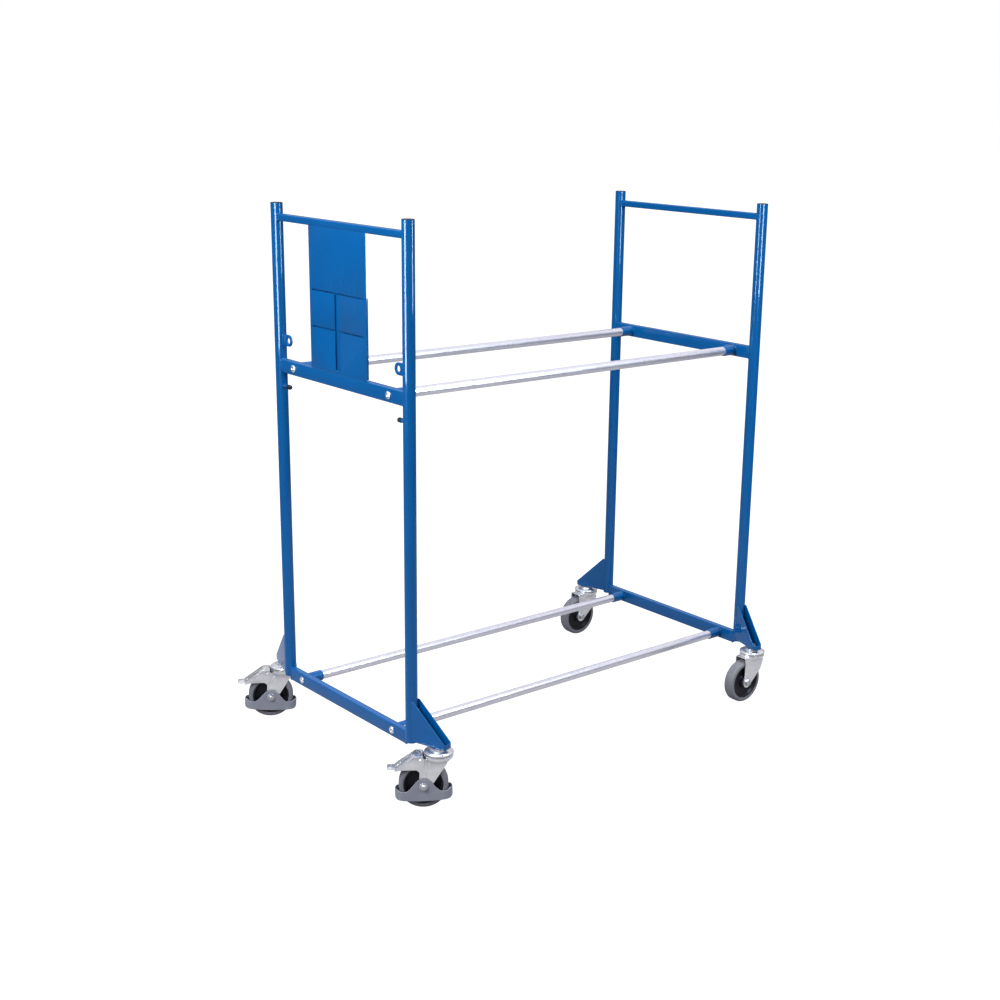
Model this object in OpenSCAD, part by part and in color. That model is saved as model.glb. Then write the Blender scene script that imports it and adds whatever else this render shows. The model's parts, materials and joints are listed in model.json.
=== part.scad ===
// Tyre trolley: two welded end frames joined by four cross tubes, on four swivel castors.
// The origin is on the floor, midway between the four posts. X runs along the cross tubes
// and the document holder is on the -X end frame. Castors are drawn in their own frame:
// swivel axis on Z, wheel trailing along +X, axle along Y, floor at zero.

/* [Posts] */
// Distance between the post axes along the cross tubes
post_gap_x = 1350; // [1200:10:1500]
// Distance between the post axes across the trolley
post_gap_y = 650; // [600:10:720]
// Outside diameter of the posts
post_d = 35; // [33:1:37]
// Wall of the post tube
post_wall = 2; // [1.5:0.25:3]
// Height of the post tops above the floor
post_top = 1620; // [1560:10:1700]
// Thickness of the plug's rim on top of a post
plug_rim = 1.5; // [1:0.5:3]
// Length of the plug inside the post
plug_l = 18; // [10:1:30]

/* [Rails] */
// Height of the middle and bottom rails
rail_h = 40; // [38:1:45]
// Width of all rails
rail_w = 20; // [18:1:24]
// Wall of the rail tubes
rail_wall = 2; // [1.5:0.25:3]
// Height of the top rail
top_rail_h = 20; // [18:1:30]
// Distance from a post's top down to the top rail
top_rail_drop = 31; // [25:1:60]
// Height of the middle rail's underside above the floor
mid_rail_z = 1130; // [1080:10:1160]

/* [Cross tubes] */
// Outside diameter of the cross tubes
tube_d = 28; // [25:0.5:30]
// Wall of the cross tubes
tube_wall = 1.5; // [1:0.25:2.5]
// Distance from a post's axis to the nearest cross tube's axis
tube_inset = 83; // [75:1:110]
// Length of the sleeves that hold the cross tubes
sleeve_l = 48; // [30:1:60]
// Wall of the sleeves
sleeve_wall = 2.5; // [2:0.25:3]
// Thread diameter of the tube screws
tube_screw_d = 10; // [8:1:12]
// Length of a tube screw under its head
tube_screw_l = 45; // [40:1:50]
// Head diameter of the tube screws
tube_screw_head_d = 22; // [18:0.5:24]
// Head height of the tube screws
tube_screw_head_h = 5; // [3:0.5:7]
// Length of the threaded insert in a tube's end
insert_l = 30; // [24:1:40]

/* [Document holder] */
// Width of the document holder
holder_w = 284; // [250:2:320]
// Depth of the document holder
holder_depth = 6; // [5:0.5:10]
// Thickness of the holder's sheet
sheet_t = 1.5; // [1:0.25:2]
// Width of the flat margin at each side of the holder
margin_w = 12; // [8:1:20]
// Height of the rear pocket's edge above the middle rail
rear_pocket_h = 221; // [190:1:250]
// Height of the front pocket's edge above the middle rail
front_pocket_h = 118; // [90:1:140]
// Height of the open mouth above a pocket
mouth_h = 4; // [3:0.5:8]
// Width of the finger slot in the pockets
finger_w = 28; // [20:1:40]
// Height of the foot of the finger slot above the middle rail
finger_foot = 11; // [8:1:30]

/* [Strap fittings] */
// Height of the strap lugs above the floor
lug_z = 1226; // [1200:2:1240]
// Distance from a post's axis to the hole of its lug
lug_reach = 47; // [42:1:55]
// Diameter of the hole in a lug
lug_hole_d = 18; // [14:1:20]
// Thickness of a lug
lug_t = 5; // [4:0.5:6]
// Width of metal round the hole of a lug
lug_rim = 8; // [6:0.5:9]
// Height of the pegs above the floor
peg_z = 1088; // [1040:2:1100]
// Diameter of the pegs
peg_d = 10; // [8:1:12]
// Distance from a post's axis to the end of a peg
peg_reach = 47; // [42:1:56]
// Outside diameter of the cap on a peg
peg_cap_d = 14; // [13:0.5:16]
// Length of the cap on a peg
peg_cap_l = 14; // [10:1:18]

/* [Castor brackets] */
// Turn of a bracket from straight outwards towards the middle of the trolley
bracket_turn = 17; // [10:1:22]
// Outside width of a bracket
bracket_w = 32; // [31:0.5:34]
// Thickness of a bracket's sheet
bracket_t = 3; // [2.5:0.25:3.5]
// Thickness of a bracket's base
base_t = 4; // [3:0.5:6]
// Length of a bracket from its post's axis
bracket_l = 128; // [124:1:134]
// Height of a bracket at its post
bracket_h = 122; // [104:1:134]
// Height of a bracket at its outer end
bracket_end_h = 15; // [12:1:22]
// Corner radius of a bracket's outer end, seen from above
bracket_corner = 6; // [4:1:13]
// Distance from a post's axis to its castor's swivel axis
castor_reach = 95; // [92:1:98]
// Height of a bracket's underside above the bottom rail's underside
bracket_rise = 17; // [11:1:22]
// Height of a post's foot above the bottom rail's underside
post_foot_rise = 11; // [8:1:20]

/* [Castors] */
// Wheel diameter
wheel_d = 140; // [132:1:140]
// Wheel width
wheel_w = 37; // [34:0.5:38]
// Diameter where the tyre meets the hub
hub_d = 112; // [104:1:116]
// Shoulder radius of the tyre
tyre_round = 9; // [4:0.5:10]
// Distance from the swivel axis to the axle
trail = 43; // [41:0.5:45]
// Axle diameter
axle_d = 12; // [10:0.5:12]
// Thickness of the fork's sheet
fork_t = 3; // [2.5:0.25:3.5]
// Distance from the top of the wheel to the fork's crown
crown_gap = 11.3; // [10:0.1:14]
// Thickness of the fork's crown
crown_t = 4; // [3:0.5:5]
// Gap between the wheel and each fork leg
wheel_gap = 1.5; // [1:0.25:2.5]
// Radius of a fork leg's lower end
leg_end_r = 16.5; // [15:0.5:18]
// Diameter of the swivel head
head_d = 84; // [80:1:86]
// Height of the swivel head above its ball race
head_h = 14.3; // [13:0.1:16]
// Diameter of the boss on top of the swivel head
boss_d = 44; // [38:1:50]
// Height of the boss above the head's rim
boss_h = 8; // [6.5:0.5:9]
// Diameter of the king pin
king_d = 20; // [18:0.5:22]
// Diameter of the castor bolt
castor_bolt_d = 12; // [10:0.5:12]
// Diameter of the swivel balls
ball_d = 6; // [5:0.25:6]
// Number of balls in a swivel head
ball_count = 18; // [12:1:20]
// Turn of the near left castor at rest
turn_left_near = 144; // [0:1:359]
// Turn of the far left castor at rest
turn_left_far = 150; // [0:1:359]
// Turn of both right castors at rest
turn_right = 180; // [0:1:359]

/* [Wheel bearings] */
// Outside diameter of a wheel bearing
bearing_d = 32; // [28:1:35]
// Width of a wheel bearing
bearing_w = 10; // [8:0.5:12]

/* [Foot guard] */
// Length of the foot guard
guard_l = 162; // [158:1:172]
// Thickness of the foot guard
guard_t = 3; // [2.5:0.25:4]
// Gap between a fork leg and the foot guard
guard_gap = 2.5; // [1.5:0.25:3.5]
// Height of the foot guard's underside above the floor
guard_z = 25; // [20:1:28]
// Rise of the foot guard's underside towards its ends
guard_rise = 3; // [1:0.5:5]
// Height of the foot guard's ends
guard_end_h = 34; // [30:1:40]
// Depth of the dips between the guard's ends and its sides
guard_dip = 5; // [2:1:10]
// Length of the rise from a dip to the guard's end
guard_dip_l = 14; // [10:1:18]
// Height of the foot guard's side above the axle
guard_above_axle = 21; // [18:1:30]
// Half length of the flat top of the guard's side
guard_flat_l = 7; // [4:1:10]
// Length of the slope beside the flat top
guard_slope_l = 46; // [38:1:48]
// Lower corner radius of the guard's ends
guard_low_r = 9; // [5:1:12]
// Upper corner radius of the guard's ends
guard_high_r = 4; // [2:1:6]
// Lean of the near guard on its axle, with the trailing end down
guard_lean_near = 1.5; // [-4:0.5:4]
// Lean of the far guard on its axle, with the trailing end down
guard_lean_far = -3.5; // [-4:0.5:4]

/* [Foot brake] */
// Thickness of the pedal's sheet
pedal_t = 2.5; // [2:0.25:3]
// Distance from the swivel axis to the pedal's bend
pedal_bend = 66; // [64:1:70]
// Horizontal length of the pedal's slope
pedal_run = 58; // [52:1:64]
// Height lost along the pedal's slope
pedal_fall = 40; // [34:1:42]
// Length of the flat step at the pedal's end
step_l = 21; // [16:1:26]
// Width of the flat step at the pedal's end
step_w = 38; // [30:1:44]
// Height of the pedal's top above its pin
pedal_rise = 11.5; // [11.5:0.5:14]
// Diameter of the pedal's pin
pin_d = 8; // [6:0.5:8]
// Distance from the axle back to the pedal's pin
pin_back = 7; // [5:0.5:9]
// Distance from the fork's crown down to the pedal's pin
pin_drop = 3.3; // [2:0.1:5]
// Radius of the fork's ears round the pedal's pin
ear_r = 8; // [7:0.5:8]
// Gap between the released brake shoe and the tyre
shoe_gap = 7; // [6.5:0.25:8]
// Length of the brake shoe
shoe_l = 24; // [18:1:26]
// Width of the brake shoe
shoe_w = 30; // [24:1:34]

/* [Clearances] */
// Radial clearance of a turning fit
run_gap = 0.05; // [0.02:0.01:0.09]
// Radial clearance of a fixed round fit
fit_gap = 0.1; // [0.05:0.05:0.2]
// Clearance between pieces that move past each other
move_gap = 0.4; // [0.3:0.1:0.6]

/* [Hidden] */

$fn = 64;
blue = [0.09, 0.34, 0.62];
zinc = [0.78, 0.79, 0.82];
tube_grey = [0.72, 0.72, 0.78];
guard_grey = [0.55, 0.56, 0.59];
tyre_grey = [0.5, 0.5, 0.54];
hub_black = [0.13, 0.13, 0.16];
cap_black = [0.06, 0.06, 0.07];

// Small overlap that makes a cut or a union clean
eps = 0.01;
left = -1;
right = 1;
near = -1;
far = 1;

// Heights of the swivel, from the wheel up to the top of the castor
crown_z = wheel_d + crown_gap;
crown_top_z = crown_z + crown_t;
plate_under_z = crown_top_z + ball_d + move_gap;
castor_h = plate_under_z + head_h;

// Heights of the frame
rail_z = castor_h - bracket_rise;
post_foot = rail_z + post_foot_rise;
post_r = post_d / 2;
top_rail_z = post_top - top_rail_drop - top_rail_h;
rail_face_x = post_gap_x / 2 - rail_w / 2;
tube_y = post_gap_y / 2 - tube_inset;
upper_tube_z = mid_rail_z + rail_h / 2;
lower_tube_z = rail_z + rail_h / 2;
holder_z = mid_rail_z + rail_h;
holder_h = top_rail_z - holder_z;
sleeve_bore_r = tube_d / 2 + fit_gap;

// Castor, seen in its own frame
wheel_r = wheel_d / 2;
leg_in = wheel_w / 2 + wheel_gap;
leg_out = leg_in + fork_t;
head_r = head_d / 2;
head_top_z = castor_h - boss_h;
crown_r = head_r - 1;
// Upstanding rim of the fork's crown, round the balls, and the gap above it
race_rim_t = 3;
race_rim_gap = 1.5;
// How far the blend under the crown stands in from the crown's rim and the legs' faces
blend_edge = 0.5;
shoulder_z = crown_z - 15;
plain_lead = -34;
braked_lead = -24;
shoulder_end = crown_r - 5;
back_lead = shoulder_end - 4;
plain_back = crown_top_z - 0.3;
braked_back = crown_z - 1.3;
leg_trail = trail + 11;
king_foot_z = crown_z - 5.5;
// Width of a hexagon across its corners, over its thread's diameter
hex_ratio = 1.82;
washer_t = 2;
nut_h = 8;
bolt_head_h = 7.5;
axle_nut_h = 9;
axle_head_h = 8;
thread_end = 2;
leg_end = [trail - 2, wheel_r - 3];
plain_turn = 217;
braked_turn = 213;
// How far the straight edge of a leg meets its round end inside the round
leg_sink = 0.4;

// Foot brake, seen in the castor's own frame
guard_in = leg_out + guard_gap;
guard_out = guard_in + guard_t;
flange_in = leg_out + move_gap;
flange_out = flange_in + pedal_t;
pin_at = [trail + pin_back, crown_z - pin_drop];
pedal_top = pin_at[1] + pedal_rise;
bend_at = [pedal_bend, pedal_top];
slope_end = [pedal_bend + pedal_run, pedal_top - pedal_fall];
slope_turn = atan2(pedal_fall, pedal_run);
slope_dir = [cos(slope_turn), -sin(slope_turn)];
slope_down = [-sin(slope_turn), -cos(slope_turn)];
axle_from_bend = [trail, wheel_r] - bend_at;
shoe_along = axle_from_bend * slope_dir;
shoe_t = axle_from_bend * slope_down - pedal_t - wheel_r - shoe_gap;

// Points of a round corner of a profile, from angle a to angle b
function arc(c, r, a, b, n = 6) = [for (i = [0:n]) c + r * [cos(a + (b - a) * i / n), sin(a + (b - a) * i / n)]];

// Points of a smooth step of a profile, from point a to point b
function step(a, b, n = 8) = [for (i = [0:n])
    [a[0] + (b[0] - a[0]) * i / n, a[1] + (b[1] - a[1]) * (1 - cos(180 * i / n)) / 2]];

module tube(r, wall, h) {
    difference() {
        cylinder(r = r, h = h);
        translate([0, 0, -eps]) cylinder(r = r - wall, h = h + 2 * eps);
    }
}

module ring(r_in, r_out, h) {
    difference() {
        cylinder(r = r_out, h = h);
        translate([0, 0, -eps]) cylinder(r = r_in, h = h + 2 * eps);
    }
}

module at_post(sx, sy) {
    translate([sx * post_gap_x / 2, sy * post_gap_y / 2, 0]) children();
}

// A bracket's own frame has +X outwards along the bracket, from the post's axis
module along_bracket(sx, sy) {
    outward = sy * 90;
    inward = sx * sy * bracket_turn;
    at_post(sx, sy) rotate([0, 0, outward + inward]) children();
}

module at_castor(sx, sy, turn) {
    swing_x = sx * (post_gap_x / 2 - castor_reach * sin(bracket_turn));
    swing_y = sy * (post_gap_y / 2 + castor_reach * cos(bracket_turn));
    translate([swing_x, swing_y, 0]) rotate([0, 0, turn]) children();
}

module at_each_castor() {
    at_castor(left, near, turn_left_near) children();
    at_castor(left, far, turn_left_far) children();
    at_castor(right, near, turn_right) children();
    at_castor(right, far, turn_right) children();
}

// A profile drawn in X and Z, given a thickness along Y from y0 to y1
module side_plate(y0, y1) {
    translate([0, y1, 0]) rotate([90, 0, 0]) linear_extrude(y1 - y0) children();
}

module on_axle() {
    translate([trail, 0, wheel_r]) rotate([-90, 0, 0]) children();
}

module post(sx, sy) {
    color(blue) at_post(sx, sy) translate([0, 0, post_foot])
        tube(post_r, post_wall, post_top - plug_rim - post_foot);
}

module post_plugs() {
    color(cap_black) for (sx = [left, right], sy = [near, far]) at_post(sx, sy) {
        translate([0, 0, post_top - plug_rim]) cylinder(r = post_r, h = plug_rim);
        translate([0, 0, post_top - plug_rim - plug_l])
            cylinder(r = post_r - post_wall - fit_gap, h = plug_l + eps);
    }
}

// A rail's ends are shaped to the round posts
module rail(sx, z, h) {
    color(blue) difference() {
        translate([sx * post_gap_x / 2 - rail_w / 2, -post_gap_y / 2, z]) cube([rail_w, post_gap_y, h]);
        translate([sx * post_gap_x / 2 - rail_w / 2 + rail_wall, -post_gap_y / 2 - eps, z + rail_wall])
            cube([rail_w - 2 * rail_wall, post_gap_y + 2 * eps, h - 2 * rail_wall]);
        for (sy = [near, far]) at_post(sx, sy) translate([0, 0, z - 1])
            cylinder(r = post_r + fit_gap, h = h + 2);
        children();
    }
}

// Screw holes through a rail, in line with its two cross tubes
module rail_screw_holes(sx, z) {
    for (sy = [near, far]) translate([sx * post_gap_x / 2 - rail_w / 2 - 1, sy * tube_y, z])
        rotate([0, 90, 0]) cylinder(d = tube_screw_d + 2 * fit_gap, h = rail_w + 2);
}

// A bracket reaches back past the front of its post, whose shape is cut out of it
module bracket_profile() {
    foot = post_r / 3;
    polygon(concat(
        [[foot, 0]],
        [[bracket_l, 0], [bracket_l, bracket_end_h]],
        [[post_r, bracket_h], [foot, bracket_h]]));
}

module bracket_plan(half, corner) {
    flat_end = bracket_l - corner;
    translate([0, -half]) square([flat_end, 2 * half]);
    translate([0, corner - half]) square([bracket_l, 2 * (half - corner)]);
    for (s = [-1, 1]) translate([flat_end, s * (half - corner)]) circle(r = corner);
}

module castor_bracket(sx, sy) {
    half = bracket_w / 2;
    color(blue) along_bracket(sx, sy) translate([0, 0, castor_h]) difference() {
        intersection() {
            side_plate(-half, half) bracket_profile();
            linear_extrude(bracket_h + 1) bracket_plan(half, bracket_corner);
        }
        translate([0, 0, base_t]) linear_extrude(bracket_h)
            translate([-bracket_t, 0]) bracket_plan(half - bracket_t, bracket_corner - bracket_t);
        translate([0, 0, -1]) cylinder(r = post_r + fit_gap, h = bracket_h + 2);
        translate([castor_reach, 0, -1]) cylinder(d = castor_bolt_d + 4 * fit_gap, h = base_t + 2);
    }
}

// The holder's front lies in the plane of the rails' outer faces
module holder_box(x, y0, y1, z0, z1, t = sheet_t) {
    translate([-post_gap_x / 2 - rail_w / 2 + x, y0, z0]) cube([t, y1 - y0, z1 - z0]);
}

module document_back() {
    half = holder_w / 2;
    top = holder_z + holder_h;
    step_z = holder_z + rear_pocket_h + mouth_h;
    inner = half - margin_w;
    color(blue) {
        holder_box(0, -half, half, step_z, top);
        holder_box(0, -half, half, step_z, step_z + sheet_t, holder_depth);
        holder_box(holder_depth - sheet_t, -half, half, holder_z, step_z + sheet_t);
        for (s = [-1, 1]) {
            holder_box(0, s > 0 ? half - sheet_t : -half, s > 0 ? half : -half + sheet_t,
                holder_z, step_z + eps, holder_depth);
            holder_box(0, s > 0 ? inner : -half, s > 0 ? half : -inner, holder_z, step_z + eps);
        }
    }
}

// A pocket's front stands on a floor, folded back to the back sheet, and has a finger slot
module pocket_front(z_low, z_edge, slot_z) {
    inner = holder_w / 2 - margin_w;
    difference() {
        union() {
            holder_box(0, -inner, inner, z_low, z_edge);
            holder_box(0, -inner, inner, z_low, z_low + sheet_t, holder_depth - sheet_t);
        }
        holder_box(-1, -finger_w / 2, finger_w / 2, slot_z, z_edge + 1, 1 + sheet_t);
    }
}

module document_rear_pocket() {
    floor_z = holder_z + front_pocket_h + mouth_h;
    color(blue) pocket_front(floor_z, holder_z + rear_pocket_h, floor_z - 1);
}

module document_front_pocket() {
    color(blue) pocket_front(holder_z, holder_z + front_pocket_h, holder_z + finger_foot);
}

// A lug's own frame has +X from the post's axis towards the other post
module inward_from_post(sy) {
    at_post(left, sy) rotate([0, 0, -sy * 90]) children();
}

module strap_lugs() {
    outer_r = lug_hole_d / 2 + lug_rim;
    color(blue) for (sy = [near, far]) inward_from_post(sy) translate([0, 0, lug_z]) difference() {
        union() {
            side_plate(-lug_t / 2, lug_t / 2) translate([lug_reach, 0]) circle(r = outer_r);
            translate([post_r - 2, -lug_t / 2, -outer_r]) cube([lug_reach - post_r + 2, lug_t, 2 * outer_r]);
        }
        translate([lug_reach, lug_t, 0]) rotate([90, 0, 0]) cylinder(d = lug_hole_d, h = 2 * lug_t);
        translate([0, 0, -outer_r - 1]) cylinder(r = post_r + fit_gap, h = 2 * outer_r + 2);
    }
}

module strap_pegs() {
    color(blue) for (sy = [near, far]) inward_from_post(sy) translate([0, 0, peg_z]) difference() {
        rotate([0, 90, 0]) cylinder(d = peg_d, h = peg_reach);
        translate([0, 0, -peg_d]) cylinder(r = post_r + fit_gap, h = 2 * peg_d);
    }
}

module peg_caps() {
    cap_wall = (peg_cap_d - peg_d) / 2;
    color(cap_black) for (sy = [near, far]) inward_from_post(sy)
        translate([peg_reach + cap_wall, 0, peg_z]) rotate([0, -90, 0]) difference() {
            cylinder(d = peg_cap_d, h = peg_cap_l);
            translate([0, 0, cap_wall]) cylinder(r = peg_d / 2 + fit_gap, h = peg_cap_l);
        }
}

// The four places of a cross tube, as [side, height]
tube_places = [[near, upper_tube_z], [far, upper_tube_z], [near, lower_tube_z], [far, lower_tube_z]];

module at_tube_end(sx, place) {
    translate([sx * rail_face_x, place[0] * tube_y, place[1]]) rotate([0, -sx * 90, 0]) children();
}

module tube_sleeves() {
    color(blue) for (sx = [left, right], place = tube_places) at_tube_end(sx, place)
        ring(sleeve_bore_r, sleeve_bore_r + sleeve_wall, sleeve_l);
}

module cross_tube(place) {
    color(tube_grey) translate([-rail_face_x, place[0] * tube_y, place[1]]) rotate([0, 90, 0])
        tube(tube_d / 2, tube_wall, 2 * rail_face_x);
}

module tube_inserts() {
    color(zinc) for (sx = [left, right], place = tube_places) at_tube_end(sx, place)
        ring(tube_screw_d / 2 + fit_gap, tube_d / 2 - tube_wall - fit_gap, insert_l);
}

module tube_screws() {
    dome = 1.5;
    color(zinc) for (sx = [left, right], place = tube_places) at_tube_end(sx, place)
        translate([0, 0, -rail_w]) {
            cylinder(d = tube_screw_d, h = tube_screw_l);
            difference() {
                translate([0, 0, -tube_screw_head_h]) union() {
                    cylinder(d1 = tube_screw_head_d - 2 * dome, d2 = tube_screw_head_d, h = dome);
                    translate([0, 0, dome]) cylinder(d = tube_screw_head_d, h = tube_screw_head_h - dome);
                }
                translate([0, 0, -tube_screw_head_h - eps])
                    cylinder(d = tube_screw_d * 0.7, h = tube_screw_head_h * 0.6, $fn = 6);
            }
        }
}

// Bolt through the bracket's base and the hollow king pin, with a washer and a nut
module castor_bolts() {
    under_head = castor_h + base_t + washer_t;
    hex = castor_bolt_d * hex_ratio;
    color(zinc) at_each_castor() {
        translate([0, 0, under_head]) cylinder(d = hex, h = bolt_head_h, $fn = 6);
        translate([0, 0, castor_h + base_t])
            ring(castor_bolt_d / 2 + fit_gap, castor_bolt_d, washer_t);
        translate([0, 0, king_foot_z - nut_h - thread_end])
            cylinder(d = castor_bolt_d, h = under_head - king_foot_z + nut_h + thread_end + eps);
        translate([0, 0, king_foot_z - nut_h]) difference() {
            cylinder(d = hex, h = nut_h, $fn = 6);
            translate([0, 0, -1]) cylinder(r = castor_bolt_d / 2 + fit_gap, h = nut_h + 2);
        }
    }
}

// Fixed half of the swivel: king pin, race plate and the boss under the bracket
module swivel_head(sx, sy, turn) {
    bore = castor_bolt_d / 2 + 2 * fit_gap;
    king_r = king_d / 2;
    boss_r = boss_d / 2;
    flange_r = king_r + 5;
    color(zinc) at_castor(sx, sy, turn) rotate_extrude() polygon(concat(
        [[bore, king_foot_z], [flange_r, king_foot_z], [flange_r, crown_z - move_gap]],
        [[king_r, crown_z - move_gap], [king_r, plate_under_z]],
        [[head_r - 1, plate_under_z], [head_r, plate_under_z + 1], [head_r, plate_under_z + 3]],
        [[head_r - 3, head_top_z - 1.5], [boss_r + 4, head_top_z + 2], [boss_r, head_top_z + 5]],
        [[boss_r, castor_h - 1], [boss_r - 1, castor_h], [bore, castor_h]]));
}

module swivel_balls() {
    race_r = (crown_r - race_rim_t + king_d / 2) / 2 + 3;
    color(zinc) at_each_castor() for (i = [0:ball_count - 1])
        rotate([0, 0, i * 360 / ball_count])
            translate([race_r, 0, plate_under_z - ball_d / 2 - run_gap]) sphere(d = ball_d, $fn = 24);
}

// The leading edge of a braked fork's leg is straight; a plain fork's is fuller near the crown
module leg_profile(braked) {
    turn = braked ? braked_turn : plain_turn;
    lead = braked ? braked_lead : plain_lead;
    edge = (leg_end_r - leg_sink) * [cos(turn), sin(turn)];
    back_top = braked ? braked_back : plain_back;
    back = [leg_end_r, 0];
    polygon(concat(
        [[leg_trail, back_top], [back_lead, back_top], [back_lead, shoulder_z]],
        [[lead, shoulder_z]],
        braked ? [] : [[lead + 2, shoulder_z - 3], [lead + 14, shoulder_z - 33]],
        [leg_end + edge, leg_end, leg_end + back],
        [[leg_trail + 1, wheel_r + 26], [leg_trail, wheel_r + 36]]));
    translate(leg_end) circle(r = leg_end_r);
    if (braked) {
        translate([pin_at[0] - ear_r, shoulder_z]) square([2 * ear_r, pin_at[1] - shoulder_z]);
        translate(pin_at) circle(r = ear_r);
    }
}

// Under the crown the fork blends from the round race to the two flat legs
module shoulder_block(lead, inset) {
    half = leg_out - blend_edge - inset;
    hull() {
        translate([0, 0, crown_z]) cylinder(r = crown_r - blend_edge - inset, h = 1, $fn = 48);
        translate([lead + inset, -half, shoulder_z - 1 - inset * eps])
            cube([shoulder_end - lead - 2 * inset, 2 * half, eps]);
    }
}

// A braked fork is open over the wheel, where the pedal is; a plain one has a roof there
module fork(sx, sy, turn, braked = false) {
    mouth_u = shoulder_end - 13;
    mouth_z = wheel_d + 3;
    lead = braked ? braked_lead : plain_lead;
    color(zinc) at_castor(sx, sy, turn) difference() {
        union() {
            difference() {
                shoulder_block(lead, 0);
                shoulder_block(lead, fork_t);
            }
            translate([0, 0, crown_z]) cylinder(r = crown_r, h = crown_t);
            translate([0, 0, crown_top_z - eps]) ring(crown_r - race_rim_t, crown_r,
                plate_under_z - race_rim_gap - crown_top_z + eps);
            if (!braked) translate([back_lead, -leg_in - fork_t / 2, plain_back - fork_t])
                cube([leg_trail - back_lead, 2 * leg_in + fork_t, fork_t]);
            for (s = [-1, 1]) side_plate(s > 0 ? leg_in : -leg_out, s > 0 ? leg_out : -leg_in)
                leg_profile(braked);
        }
        translate([mouth_u, -leg_in, shoulder_z - 2])
            cube([leg_trail - mouth_u + 1, 2 * leg_in, mouth_z - shoulder_z + 2]);
        translate([0, 0, crown_z - 1]) cylinder(r = king_d / 2 + run_gap, h = crown_t + 2);
        on_axle() translate([0, 0, -leg_out - 1])
            cylinder(r = axle_d / 2 + fit_gap, h = 2 * leg_out + 2);
        if (braked) translate([pin_at[0], 0, pin_at[1]]) rotate([-90, 0, 0])
            translate([0, 0, -leg_out - 1]) cylinder(r = pin_d / 2 + run_gap, h = 2 * leg_out + 2);
    }
}

// Axle bolt with its head, washers and nut; a braked castor's axle also holds the foot guard
module axle(sx, sy, turn, braked = false) {
    grip = braked ? guard_out : leg_out;
    hex = axle_d * hex_ratio;
    color(zinc) at_castor(sx, sy, turn) on_axle() {
        translate([0, 0, -grip - washer_t - axle_nut_h - thread_end])
            cylinder(d = axle_d, h = 2 * (grip + washer_t) + axle_nut_h + thread_end);
        for (s = [-1, 1]) translate([0, 0, s > 0 ? grip : -grip - washer_t])
            ring(axle_d / 2 + fit_gap, axle_d, washer_t);
        translate([0, 0, -grip - washer_t - axle_nut_h]) difference() {
            cylinder(d = hex, h = axle_nut_h, $fn = 6);
            translate([0, 0, -1]) cylinder(r = axle_d / 2 + fit_gap, h = axle_nut_h + 2);
        }
        translate([0, 0, grip + washer_t - eps]) cylinder(d = hex, h = axle_head_h, $fn = 6);
        if (braked) for (s = [-1, 1]) translate([0, 0, s > 0 ? leg_out : -guard_in])
            ring(axle_d / 2 + fit_gap, axle_d, guard_gap);
    }
}

module tyre(sx, sy, turn) {
    half = wheel_w / 2;
    c = half - tyre_round;
    color(tyre_grey) at_castor(sx, sy, turn) on_axle() rotate_extrude($fn = 96) polygon(concat(
        [[hub_d / 2, -half + 1], [hub_d / 2 + 1, -half]],
        arc([wheel_r - tyre_round, -c], tyre_round, -90, 0),
        arc([wheel_r - tyre_round, c], tyre_round, 0, 90),
        [[hub_d / 2 + 1, half], [hub_d / 2, half - 1]]));
}

module hub(sx, sy, turn) {
    half = wheel_w / 2;
    rim_r = hub_d / 2 - fit_gap;
    rim_in = rim_r - 6;
    barrel_r = bearing_d / 2 + 5;
    seat_r = bearing_d / 2 + fit_gap;
    seat_z = half - bearing_w;
    bore_r = axle_d / 2 + 2;
    web = 5;
    color(hub_black) at_castor(sx, sy, turn) on_axle() rotate_extrude($fn = 96) polygon(concat(
        [[seat_r, half], [barrel_r, half], [barrel_r + 2, web + 2], [rim_in - 2, web + 2], [rim_in, half - 3]],
        [[rim_r, half - 2], [rim_r, -half + 2], [rim_in, -half + 3], [rim_in - 2, -web - 2]],
        [[barrel_r + 2, -web - 2], [barrel_r, -half], [seat_r, -half], [seat_r, -seat_z]],
        [[bore_r, -seat_z], [bore_r, seat_z], [seat_r, seat_z]]));
}

module wheel_bearings(sx, sy, turn) {
    color(zinc) at_castor(sx, sy, turn) on_axle() for (s = [-1, 1])
        translate([0, 0, s > 0 ? wheel_w / 2 - bearing_w : -wheel_w / 2])
            ring(axle_d / 2 + run_gap, bearing_d / 2, bearing_w);
}

// Side view of the foot guard, drawn over half its length and mirrored about the axle
module guard_profile() {
    half = guard_l / 2;
    end_top = guard_z + guard_end_h;
    end_foot = guard_z + guard_rise;
    dip = end_top - guard_dip;
    apex = wheel_r + guard_above_axle;
    right_half = concat(
        [[0, guard_z]],
        step([guard_flat_l, guard_z], [half - guard_low_r, end_foot]),
        arc([half - guard_low_r, end_foot + guard_low_r], guard_low_r, -80, 0),
        arc([half - guard_high_r, end_top - guard_high_r], guard_high_r, 10, 90, 4),
        step([half - guard_high_r - 1, end_top], [half - guard_high_r - guard_dip_l, dip]),
        step([guard_flat_l + guard_slope_l, dip], [guard_flat_l, apex]),
        [[0, apex]]);
    polygon(concat(right_half, [for (i = [len(right_half) - 2:-1:1]) [-right_half[i][0], right_half[i][1]]]));
}

module guard_plan(half_l, r) {
    straight = half_l - r;
    translate([-straight, -r]) square([2 * straight, 2 * r]);
    for (s = [-1, 1]) translate([s * straight, 0]) circle(r = r, $fn = 64);
}

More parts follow.
